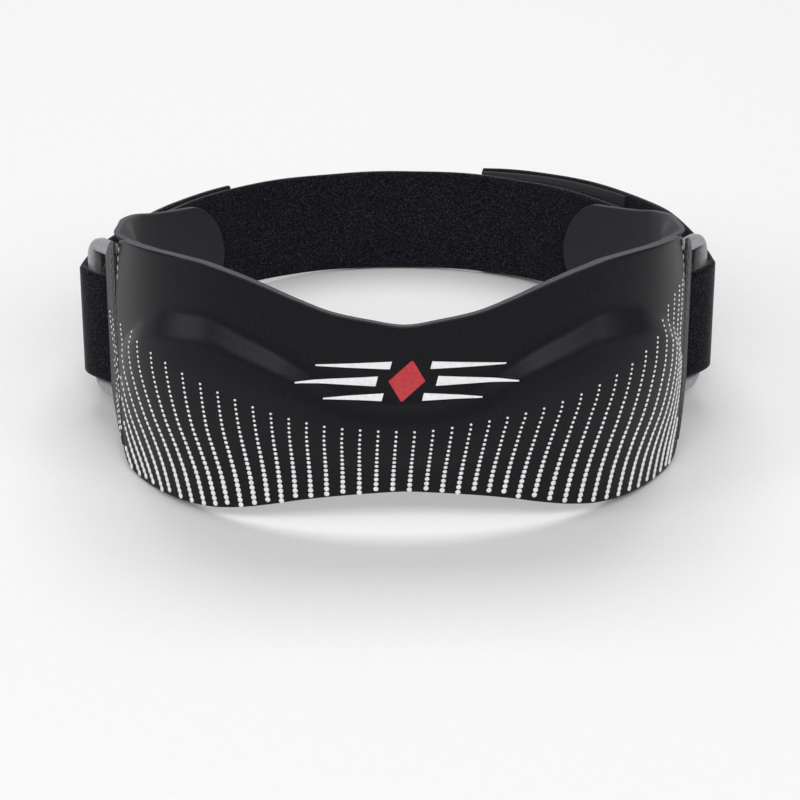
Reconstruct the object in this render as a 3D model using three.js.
import * as THREE from "three";

// Patella strap, millimetres, +Z up. The ring is first drawn level, with its front at -Y and
// height 0 near the middle of the buckles. It is then laid down as it rests on a table.

// Pad: a moulded front panel over a lining.
const padHalfArc = 91;
const padSeamY = -14.4;
const padRise = 32.6;
const padDrop = 36;
const panelThickness = 2;
const liningThickness = 2.2;
const liningInset = 0.6;
const reliefDepth = 3.2;
const clearance = 0.3;

// Wings of the lining, behind the buckles.
const wingBackReach = 69;
const wingTipHeight = 4;
const wingTipLength = 13;

// Strap.
const strapWidth = 30.6;
const strapThickness = 2;
const backDepth = 87;
const strapLineOutset = 5.9;
const backFullness = 2.2;
const backRise = 8.2;
const rightReturnLift = 4.4;
const rightReturnEndX = 27;
const leftReturnEndX = 48;

// Hook patches under the ends of the two returns.
const hookThickness = 0.9;
const hookLength = 50;
const hookInset = 0.5;

// Buckles.
const foldStartY = 13.9;
const buckleLevel = 1.2;
const buckleEndHeight = 3.9;
const slotPlay = 6.6;
const strapSeat = 0.4;
const foldDip = 1.2;
const barThickness = 3.4;
const barWidth = 3.6;
const barSpacing = 13;
const buckleHeading = 56;
const buckleOuterCorner = 7;
const buckleInnerCorner = 3;
const buckleEdgeRound = 1.2;
const slotCorner = 0.6;

// Webbing tabs between the pad and the buckles.
const tabThickness = 0.8;
const tabPlay = 0.2;
const tabStart = 0.5;

// Direction of the pad's plan line in degrees: share of the half arc, heading from +X.
const padHeading = [
  [0.0, 0],
  [0.22, 5],
  [0.44, 15],
  [0.66, 36],
  [0.88, 60.5],
  [1.0, 67],
];

// Outline of the pad: share of the half arc, top as a share of padRise, bottom as a share of padDrop.
const padOutline = [
  [0.0, 0.531, 0.79],
  [0.1, 0.574, 0.803],
  [0.2, 0.632, 0.828],
  [0.3, 0.733, 0.866],
  [0.4, 0.844, 0.917],
  [0.5, 0.933, 0.963],
  [0.6, 0.988, 0.992],
  [0.7, 1.0, 1.0],
  [0.8, 0.988, 0.992],
  [0.88, 0.966, 0.975],
  [0.926, 0.948, 0.955],
  [0.963, 0.936, 0.925],
  [0.984, 0.926, 0.89],
  [1.0, 0.914, 0.82],
];

// Tuck of the pad's edges toward the leg: share of the half arc, then the upper and the lower
// edge's as shares of reliefDepth.
const padTuck = [
  [0.7, 0.0, 0.0],
  [0.88, 0.2, 0.02],
  [1.0, 0.5, 0.1],
];

// Moulded ridge over the cushion: share of the half arc, height as a share of padRise, strength.
const padRidge = [
  [0.0, -0.092, 0.9],
  [0.11, -0.061, 0.9],
  [0.22, 0.061, 0.95],
  [0.33, 0.266, 1.0],
  [0.44, 0.42, 1.0],
  [0.57, 0.553, 1.0],
  [0.68, 0.543, 1.0],
  [0.78, 0.44, 0.9],
  [0.88, 0.266, 0.6],
  [0.96, 0.08, 0.2],
  [1.0, -0.06, 0.0],
];

// Relief of the cushion: share of the way from the bottom edge to the ridge, push outward as a
// share of reliefDepth.
const cushionSection = [
  [0.0, -1.15],
  [0.14, -1.0],
  [0.3, -0.55],
  [0.46, 0.1],
  [0.62, 0.62],
  [0.78, 0.85],
  [0.9, 0.62],
  [1.0, 0.12],
];

// Wing of the lining: depth as a share of wingBackReach, share of the way from lying against the
// strap to clearing the tab, top as a share of padRise, bottom as a share of padDrop, and how far
// the top edge turns out over the buckle as a share of reliefDepth.
const wingLine = [
  [-0.1, 1.03, 0.9, 0.7, 1.1],
  [-0.03, 1.03, 0.9, 0.62, 1.15],
  [0.04, 1.02, 0.89, 0.55, 1.1],
  [0.2, 0.65, 0.86, 0.46, 0.5],
  [0.36, 0.326, 0.805, 0.4, 0.1],
  [0.52, 0.104, 0.735, 0.36, 0],
  [0.65, 0.06, 0.67, 0.33, 0],
  [0.83, 0.06, 0.61, 0.31, 0],
  [1.0, 0.06, 0.58, 0.3, 0],
];

// Outer leg of a tab: share of the way from the seam to the bar, then for its low and its high edge
// the share of the way from the panel's edge at the seam to the edge of the turn round the bar.
const tabOutline = [
  [0.0, 0.144, 0.06],
  [0.35, 0.294, 0.18],
  [0.7, 0.625, 0.5],
  [1.0, 1.0, 0.86],
];

// Lift of the right return over the band: share of the way from the fold to its end, share of
// rightReturnLift.
const returnLift = [
  [0.0, 0.0],
  [0.12, 0.45],
  [0.3, 1.0],
  [0.6, 0.75],
  [1.0, 0.3],
];

// Sizes that follow from the ones above. The fold's centre is the buckle's outer bar.
const slotHeight = strapWidth + slotPlay;
const buckleHeight = slotHeight + 2 * buckleEndHeight;
const strapLevel = buckleLevel - slotHeight / 2 + strapSeat + foldDip + strapWidth / 2;
const tabHeight = slotHeight - 2 * tabPlay;
const returnGap = strapThickness + hookThickness + 2 * clearance;
const seam = padSpots([1])[0];
const backHalfWidth = seam.x + strapLineOutset;
const barReach = Math.hypot(
  barWidth / 2 - buckleEdgeRound,
  barThickness / 2 - buckleEdgeRound,
) + buckleEdgeRound;
const foldRadius = barReach + clearance + strapThickness / 2;
const foldAngle = backAngleAtY(foldStartY);
const foldSpot = backSpot(foldAngle);
const outerBar = shifted(foldSpot, foldRadius);
const buckleAlong = new THREE.Vector2(Math.cos(rad(buckleHeading)), Math.sin(rad(buckleHeading)));
const innerBar = {
  x: outerBar.x - barSpacing * buckleAlong.x,
  y: outerBar.y - barSpacing * buckleAlong.y,
};
const tabReach = barReach + clearance + tabThickness;
const foldReach = barSpacing - tabReach - 1.5 * clearance - strapThickness / 2;
const wingInset = (strapThickness + liningThickness) / 2 + clearance;
const wingInsetAtTab = backHalfWidth - innerBar.x + tabReach + clearance + liningThickness / 2;

function rad(degrees) {
  return (degrees * Math.PI) / 180;
}

// Value of a table column at a share: a smooth curve through the rows, level at the first one.
function lookUp(table, share, column = 1) {
  const last = table.length - 1;
  const at = Math.min(Math.max(share, table[0][0]), table[last][0]);
  let i = 0;
  while (i < last - 1 && at > table[i + 1][0]) {
    i += 1;
  }
  const width = (k) => table[k + 1][0] - table[k][0];
  const rise = (k) => (table[k + 1][column] - table[k][column]) / width(k);
  const slope = (k) => {
    if (k === 0) {
      return 0;
    }
    if (k === last) {
      return rise(last - 1);
    }
    const before = rise(k - 1);
    const after = rise(k);
    return before * after > 0 ? (2 * before * after) / (before + after) : 0;
  };
  const t = (at - table[i][0]) / width(i);
  const bend = width(i) * t * (1 - t) * (slope(i) * (1 - t) - slope(i + 1) * t);
  const blend = t * t * (3 - 2 * t);
  return table[i][column] + blend * (table[i + 1][column] - table[i][column]) + bend;
}

// A spot on a plan line: place, unit direction of travel and unit outward normal.
function spot(x, y, heading) {
  const along = new THREE.Vector2(Math.cos(heading), Math.sin(heading));
  const outward = new THREE.Vector2(Math.sin(heading), -Math.cos(heading));
  return { x, y, along, outward };
}

function shifted(base, distance) {
  return { ...base, x: base.x + base.outward.x * distance, y: base.y + base.outward.y * distance };
}

// Right half of the pad's outer plan line, from the centre to the seam.
function padSpots(shares) {
  const steps = 400;
  const line = [{ x: 0, y: 0, heading: 0 }];
  const step = padHalfArc / steps;
  for (let i = 1; i <= steps; i += 1) {
    const heading = rad(lookUp(padHeading, (i - 0.5) / steps));
    const before = line[i - 1];
    line.push({
      x: before.x + step * Math.cos(heading),
      y: before.y + step * Math.sin(heading),
      heading: rad(lookUp(padHeading, i / steps)),
    });
  }
  const shift = padSeamY - line[steps].y;
  return shares.map((share) => {
    const place = Math.min(share * steps, steps);
    const low = Math.floor(Math.min(place, steps - 1));
    const part = place - low;
    const a = line[low];
    const b = line[low + 1];
    const x = a.x + part * (b.x - a.x);
    const y = a.y + part * (b.y - a.y) + shift;
    return spot(x, y, a.heading + part * (b.heading - a.heading));
  });
}

// Spot on the strap's back line (right half) at a given angle, 90 degrees being the middle back.
function backSpot(angle) {
  const power = 2 / backFullness;
  const c = Math.cos(angle);
  const s = Math.sin(angle);
  const x = backHalfWidth * Math.sign(c) * Math.abs(c) ** power;
  const y = backDepth * Math.sign(s) * Math.abs(s) ** power;
  const nx = Math.sign(x) * (Math.abs(x) / backHalfWidth) ** (backFullness - 1) / backHalfWidth;
  const ny = Math.sign(y) * (Math.abs(y) / backDepth) ** (backFullness - 1) / backDepth;
  return spot(x, y, Math.atan2(nx, -ny));
}

function backAngleAtY(y) {
  return Math.asin(Math.sign(y) * (Math.abs(y) / backDepth) ** (backFullness / 2));
}

function backAngleAtX(x) {
  return Math.acos((x / backHalfWidth) ** (backFullness / 2));
}

// Height of the strap's centre line: it climbs evenly from the buckles to the back.
function strapHeightAt(y) {
  return strapLevel + backRise * Math.max(0, (y - foldStartY) / (backDepth - foldStartY));
}

// Closed body from a run of cross sections. Each has an outer and an inner column of points,
// both from the bottom to the top.
function shell(name, sections, material) {
  const rows = sections[0].outer.length;
  const ring = 2 * rows;
  const positions = [];
  sections.forEach((section) => {
    section.outer.forEach((p) => positions.push(p.x, p.y, p.z));
    [...section.inner].reverse().forEach((p) => positions.push(p.x, p.y, p.z));
  });
  const triangles = [];
  const quad = (a, b, c, d) => triangles.push(a, b, c, a, c, d);
  for (let i = 0; i + 1 < sections.length; i += 1) {
    for (let j = 0; j < ring; j += 1) {
      const k = (j + 1) % ring;
      quad(i * ring + j, (i + 1) * ring + j, (i + 1) * ring + k, i * ring + k);
    }
  }
  const end = (sections.length - 1) * ring;
  for (let j = 0; j + 1 < rows; j += 1) {
    const across = ring - 1 - j;
    quad(j, j + 1, across - 1, across);
    quad(end + j, end + across, end + across - 1, end + j + 1);
  }
  const geometry = new THREE.BufferGeometry();
  geometry.setAttribute("position", new THREE.Float32BufferAttribute(positions, 3));
  geometry.setIndex(triangles);
  return named(name, geometry, material);
}

function named(name, geometry, material) {
  geometry.computeVertexNormals();
  const mesh = new THREE.Mesh(geometry, new THREE.MeshStandardMaterial(material));
  mesh.name = name;
  return mesh;
}

// Column of points at one spot: offset outward and height for each row.
function column(base, rows) {
  return rows.map(([offset, height]) => {
    return new THREE.Vector3(
      base.x + base.outward.x * offset,
      base.y + base.outward.y * offset,
      height,
    );
  });
}

// Flat strip of even thickness along a plan line, centred on it.
function stripSection(base, thickness, low, high) {
  return {
    outer: column(base, [[thickness / 2, low], [thickness / 2, high]]),
    inner: column(base, [[-thickness / 2, low], [-thickness / 2, high]]),
  };
}

// The same spot on the left side, travelling the same way round.
function mirroredSpot(base) {
  const along = new THREE.Vector2(base.along.x, -base.along.y);
  const outward = new THREE.Vector2(-base.outward.x, base.outward.y);
  return { x: -base.x, y: base.y, along, outward };
}

function mirroredGeometry(geometry) {
  const flat = geometry.index ? geometry.toNonIndexed() : geometry.clone();
  const place = flat.getAttribute("position");
  for (let i = 0; i < place.count; i += 3) {
    const a = new THREE.Vector3().fromBufferAttribute(place, i);
    const b = new THREE.Vector3().fromBufferAttribute(place, i + 1);
    const c = new THREE.Vector3().fromBufferAttribute(place, i + 2);
    place.setXYZ(i, -a.x, a.y, a.z);
    place.setXYZ(i + 1, -c.x, c.y, c.z);
    place.setXYZ(i + 2, -b.x, b.y, b.z);
  }
  flat.deleteAttribute("normal");
  return flat;
}

// Rows of the pad at one share of its half arc: push outward by the relief, and height.
function padRows(share, inset) {
  const top = padRise * lookUp(padOutline, share, 1) - inset;
  const bottom = -padDrop * lookUp(padOutline, share, 2) + inset;
  const ridge = padRise * lookUp(padRidge, share, 1);
  const strength = lookUp(padRidge, share, 2);
  const rows = cushionSection.map(([part, push]) => {
    return [push * strength * reliefDepth, bottom + part * (ridge - bottom)];
  });
  [0.12, 0.55, 0.85, 1].forEach((part) => rows.push([0, ridge + part * (top - ridge)]));
  return rows.map(([push, height]) => {
    const middle = (top + bottom) / 2;
    const reach = (height - middle) / (top - middle);
    const tuck = reliefDepth * lookUp(padTuck, share, reach > 0 ? 1 : 2);
    return [push - tuck * reach ** 4, height];
  });
}

function padSection(base, share, outerDepth, thickness, inset) {
  const rows = padRows(share, inset);
  return {
    outer: column(base, rows.map(([push, height]) => [push - outerDepth, height])),
    inner: column(base, rows.map(([push, height]) => [push - outerDepth - thickness, height])),
  };
}

const padShares = [
  0, 0.04, 0.08, 0.12, 0.16, 0.2, 0.24, 0.28, 0.32, 0.36, 0.4, 0.44, 0.48, 0.52, 0.56, 0.6,
  0.64, 0.68, 0.72, 0.76, 0.8, 0.84, 0.88, 0.915, 0.945, 0.97, 0.988, 1,
];

// Both halves of a run along the pad, from the left seam to the right seam.
function acrossPad(makeSection) {
  const right = padSpots(padShares).map((base, i) => makeSection(base, padShares[i]));
  const left = padSpots(padShares).map((base, i) => makeSection(mirroredSpot(base), padShares[i]));
  return [...left.slice(1).reverse(), ...right];
}

function makeFrontPanel() {
  const sections = acrossPad((base, share) => padSection(base, share, 0, panelThickness, 0));
  return shell("front_panel", sections, { color: "#26272c", roughness: 0.8, metalness: 0 });
}

// One wing of the lining, from just behind the seam to its rounded tip.
function wingSections() {
  const sections = [];
  const startY = wingLine[0][0] * wingBackReach;
  const depths = [];
  for (let i = 0; i <= 11; i += 1) {
    depths.push(startY + (i / 11) * (wingBackReach - wingTipLength * 0.7 - startY));
  }
  [0.45, 0.63, 0.78, 0.89, 0.96, 1].forEach((part) => {
    depths.push(wingBackReach - wingTipLength * 0.7 * (1 - part));
  });
  const tipStart = depths[11];
  depths.forEach((y) => {
    const share = y / wingBackReach;
    const near = lookUp(wingLine, share, 1);
    const inset = wingInset + near * (wingInsetAtTab - wingInset);
    const base = shifted(backSpot(backAngleAtY(y)), -inset);
    const into = Math.max(0, (y - tipStart) / (wingBackReach - tipStart));
    const rounding = Math.sqrt(Math.max(0.012, 1 - into * into));
    const top = padRise * lookUp(wingLine, share, 2);
    const bottom = -padDrop * lookUp(wingLine, share, 3);
    const high = wingTipHeight + (top - wingTipHeight) * rounding;
    const low = wingTipHeight + (bottom - wingTipHeight) * rounding;
    const rows = padRows(1, liningInset);
    const span = rows[rows.length - 1][1] - rows[0][1];
    const heights = rows.map(([, height]) => low + ((height - rows[0][1]) / span) * (high - low));
    const turnOut = reliefDepth * lookUp(wingLine, share, 4);
    const pushes = heights.map((height, i) => (i === heights.length - 1 ? turnOut : 0));
    const half = liningThickness / 2;
    sections.push({
      outer: column(base, heights.map((height, i) => [pushes[i] + half, height])),
      inner: column(base, heights.map((height, i) => [pushes[i] - half, height])),
    });
  });
  return sections;
}

function mirroredSections(sections) {
  const flip = (p) => new THREE.Vector3(-p.x, p.y, p.z);
  return sections.map((section) => {
    return { outer: section.outer.map(flip), inner: section.inner.map(flip) };
  });
}

function makeLining() {
  const depth = panelThickness + clearance;
  const pad = acrossPad((base, share) => {
    return padSection(base, share, depth, liningThickness, liningInset);
  });
  const wing = wingSections();
  const sections = [...mirroredSections(wing).reverse(), ...pad, ...wing];
  return shell("lining", sections, { color: "#2b2c31", roughness: 0.85, metalness: 0 });
}

// Distance of a return outside the band: it closes up from the fold to the hook patch.
function returnOffset(angle) {
  const share = Math.min(1, (angle - foldAngle) / 0.45);
  const ease = share * share * (3 - 2 * share);
  return 2 * foldRadius + ease * (returnGap - 2 * foldRadius);
}

function returnHeight(angle, endAngle, y, lift) {
  const share = (angle - foldAngle) / (endAngle - foldAngle);
  return strapHeightAt(y) + lift * lookUp(returnLift, share);
}

// Right half of the strap's line: middle back, fold round the bar, return to its end.
function strapSpots(returnEndX, lift) {
  const spots = [];
  const bandSteps = 24;
  for (let i = 0; i <= bandSteps; i += 1) {
    const angle = Math.PI / 2 + (i / bandSteps) * (foldAngle - Math.PI / 2);
    const base = backSpot(angle);
    spots.push({ base, height: strapHeightAt(base.y) });
  }
  const foldSteps = 14;
  const out = foldSpot.outward;
  const ahead = new THREE.Vector2(out.y, -out.x);
  const reachAhead = -foldReach * buckleAlong.dot(ahead);
  const reachIn = foldReach * buckleAlong.dot(out);
  for (let i = 1; i < foldSteps; i += 1) {
    const turn = (i / foldSteps) * Math.PI;
    const s = Math.sin(turn);
    const c = Math.cos(turn);
    const place = new THREE.Vector2(outerBar.x, outerBar.y)
      .addScaledVector(out, -c * foldRadius - s * s * reachIn)
      .addScaledVector(ahead, s * reachAhead);
    const travel = new THREE.Vector2()
      .addScaledVector(out, s * foldRadius - 2 * s * c * reachIn)
      .addScaledVector(ahead, c * reachAhead)
      .normalize();
    const outward = new THREE.Vector2(-travel.y, travel.x);
    const height = strapHeightAt(place.y) - foldDip * s * s;
    spots.push({ base: { x: place.x, y: place.y, outward }, height });
  }
  const endAngle = backAngleAtX(returnEndX);
  const returnSteps = Math.round((endAngle - foldAngle) / 0.052);
  for (let i = 0; i <= returnSteps; i += 1) {
    const angle = foldAngle + (i / returnSteps) * (endAngle - foldAngle);
    const base = backSpot(angle);
    const place = shifted(base, returnOffset(angle));
    const outward = base.outward.clone().negate();
    const height = returnHeight(angle, endAngle, base.y, lift);
    spots.push({ base: { ...place, outward }, height });
  }
  return spots;
}

function strapSection({ base, height }) {
  const half = strapWidth / 2;
  return stripSection(base, strapThickness, height - half, height + half);
}

function makeStrap() {
  const right = strapSpots(rightReturnEndX, rightReturnLift).map(strapSection);
  const left = mirroredSections(strapSpots(leftReturnEndX, 0).map(strapSection));
  const sections = [...left.slice(1).reverse(), ...right];
  const flipped = sections.map(({ outer, inner }) => ({ outer: inner, inner: outer }));
  return shell("strap", flipped, { color: "#201f26", roughness: 0.95, metalness: 0 });
}

function makeHookPatch(name, returnEndX, lift, side) {
  const endAngle = backAngleAtX(returnEndX);
  const endSpot = backSpot(endAngle);
  let startAngle = endAngle;
  let run = 0;
  let before = endSpot;
  while (run < hookLength) {
    startAngle -= 0.01;
    const now = backSpot(startAngle);
    run += Math.hypot(now.x - before.x, now.y - before.y);
    before = now;
  }
  const steps = 14;
  const half = strapWidth / 2 - hookInset;
  const sections = [];
  for (let i = 0; i <= steps; i += 1) {
    const angle = startAngle + (i / steps) * (endAngle - startAngle);
    const base = backSpot(angle);
    const place = shifted(base, returnGap / 2);
    const height = returnHeight(angle, endAngle, base.y, lift);
    sections.push(stripSection(place, hookThickness, height - half, height + half));
  }
  const patch = shell(name, sections, { color: "#17171a", roughness: 0.9, metalness: 0 });
  if (side < 0) {
    patch.geometry = mirroredGeometry(patch.geometry);
  }
  return patch;
}

// Webbing tab: leaves the seam level with the panel's face, turns round the inner bar and comes
// back under itself to the seam.
function makeTab(name, side) {
  const radius = tabReach - tabThickness / 2;
  const start = {
    x: seam.x + seam.along.x * tabStart,
    y: seam.y + seam.along.y * tabStart,
    outward: seam.outward,
  };
  const seamSpot = shifted(start, -tabThickness / 2);
  const under = shifted(start, -1.5 * tabThickness - clearance);
  const tangent = (from, hand) => {
    const away = Math.hypot(innerBar.x - from.x, innerBar.y - from.y);
    const toBar = Math.atan2(innerBar.y - from.y, innerBar.x - from.x);
    return toBar - hand * Math.asin(radius / away);
  };
  const turnStart = tangent(seamSpot, 1) - Math.PI / 2;
  const turnEnd = tangent(under, -1) + Math.PI / 2;
  const turnSteps = 10;
  const turned = [];
  for (let i = 0; i <= turnSteps; i += 1) {
    const facing = turnStart + (i / turnSteps) * (turnEnd - turnStart);
    const outward = new THREE.Vector2(Math.cos(facing), Math.sin(facing));
    const x = innerBar.x + radius * outward.x;
    const y = innerBar.y + radius * outward.y;
    turned.push({ x, y, outward });
  }
  const legEnd = turned[0];
  const low = buckleLevel - tabHeight / 2;
  const high = buckleLevel + tabHeight / 2;
  const seamLow = -padDrop * lookUp(padOutline, 1, 2);
  const seamHigh = padRise * lookUp(padOutline, 1, 1);
  const sections = tabOutline.map(([share, lowShare, highShare]) => {
    const outward = seamSpot.outward.clone().lerp(legEnd.outward, share).normalize();
    const x = seamSpot.x + share * (legEnd.x - seamSpot.x);
    const y = seamSpot.y + share * (legEnd.y - seamSpot.y);
    const legLow = seamLow + lowShare * (low - seamLow);
    const legHigh = seamHigh + highShare * (high - seamHigh);
    return stripSection({ x, y, outward }, tabThickness, legLow, legHigh);
  });
  const back = { ...under, outward: seam.outward.clone().negate() };
  [...turned.slice(1), back].forEach((base) => {
    sections.push(stripSection(base, tabThickness, low, high));
  });
  const tab = shell(name, sections, { color: "#3a3a3c", roughness: 0.95, metalness: 0 });
  if (side < 0) {
    tab.geometry = mirroredGeometry(tab.geometry);
  }
  return tab;
}

function roundedOutline(target, left, right, half, leftCorner, rightCorner) {
  target.moveTo(left + leftCorner, -half);
  target.lineTo(right - rightCorner, -half);
  target.absarc(right - rightCorner, -half + rightCorner, rightCorner, -Math.PI / 2, 0);
  target.lineTo(right, half - rightCorner);
  target.absarc(right - rightCorner, half - rightCorner, rightCorner, 0, Math.PI / 2);
  target.lineTo(left + leftCorner, half);
  target.absarc(left + leftCorner, half - leftCorner, leftCorner, Math.PI / 2, Math.PI);
  target.lineTo(left, -half + leftCorner);
  target.absarc(left + leftCorner, -half + leftCorner, leftCorner, Math.PI, 1.5 * Math.PI);
  target.closePath();
  return target;
}

function makeBuckle(name, side) {
  const trim = buckleEdgeRound;
  const left = -barWidth / 2 + trim;
  const right = barSpacing + barWidth / 2 - trim;
  const outerHalf = buckleHeight / 2 - trim;
  const slotHalf = slotHeight / 2 + trim;
  const outline = roundedOutline(
    new THREE.Shape(), left, right, outerHalf, buckleInnerCorner - trim, buckleOuterCorner - trim,
  );
  const slot = roundedOutline(
    new THREE.Path(),
    barWidth / 2 - trim,
    barSpacing - barWidth / 2 + trim,
    slotHalf,
    slotCorner + trim,
    slotCorner + trim,
  );
  outline.holes.push(slot);
  const geometry = new THREE.ExtrudeGeometry(outline, {
    depth: barThickness - 2 * trim,
    bevelEnabled: true,
    bevelThickness: trim,
    bevelSize: trim,
    bevelSegments: 3,
    curveSegments: 5,
  });
  geometry.translate(0, 0, -barThickness / 2 + trim);
  const across = new THREE.Vector3(buckleAlong.y, -buckleAlong.x, 0);
  const turned = new THREE.Matrix4().makeBasis(
    new THREE.Vector3(buckleAlong.x, buckleAlong.y, 0),
    new THREE.Vector3(0, 0, 1),
    across,
  );
  turned.setPosition(innerBar.x, innerBar.y, buckleLevel);
  geometry.applyMatrix4(turned);
  const shape = side < 0 ? mirroredGeometry(geometry) : geometry;
  return named(name, shape, { color: "#8f9092", roughness: 0.3, metalness: 0 });
}

// Lowest height of all corners on one side of the ring when it is tipped back by an angle.
function lowest(meshes, angle, isBack) {
  const s = Math.sin(angle);
  const c = Math.cos(angle);
  let low = Infinity;
  meshes.forEach((mesh) => {
    const place = mesh.geometry.getAttribute("position");
    for (let i = 0; i < place.count; i += 1) {
      if (place.getY(i) > 0 === isBack) {
        low = Math.min(low, place.getZ(i) * c - place.getY(i) * s);
      }
    }
  });
  return low;
}

// Tip the ring back until the pad's lower edge and the back of the strap both touch the table,
// then set the middle of its footprint on the origin.
function layDown(meshes) {
  let small = 0;
  let large = rad(40);
  for (let i = 0; i < 40; i += 1) {
    const middle = (small + large) / 2;
    if (lowest(meshes, middle, true) > lowest(meshes, middle, false)) {
      small = middle;
    } else {
      large = middle;
    }
  }
  const tip = new THREE.Matrix4().makeRotationX(-small);
  const box = new THREE.Box3();
  meshes.forEach((mesh) => {
    mesh.geometry.applyMatrix4(tip);
    mesh.geometry.computeBoundingBox();
    box.union(mesh.geometry.boundingBox);
  });
  const centre = box.getCenter(new THREE.Vector3());
  meshes.forEach((mesh) => mesh.geometry.translate(-centre.x, -centre.y, -box.min.z));
}

const part = new THREE.Group();
part.name = "patella_strap";
const meshes = [
  makeFrontPanel(),
  makeLining(),
  makeTab("buckle_tab_left", -1),
  makeTab("buckle_tab_right", 1),
  makeBuckle("buckle_left", -1),
  makeBuckle("buckle_right", 1),
  makeStrap(),
  makeHookPatch("hook_patch_left", leftReturnEndX, 0, -1),
  makeHookPatch("hook_patch_right", rightReturnEndX, rightReturnLift, 1),
];
layDown(meshes);
part.add(...meshes);

export default part;
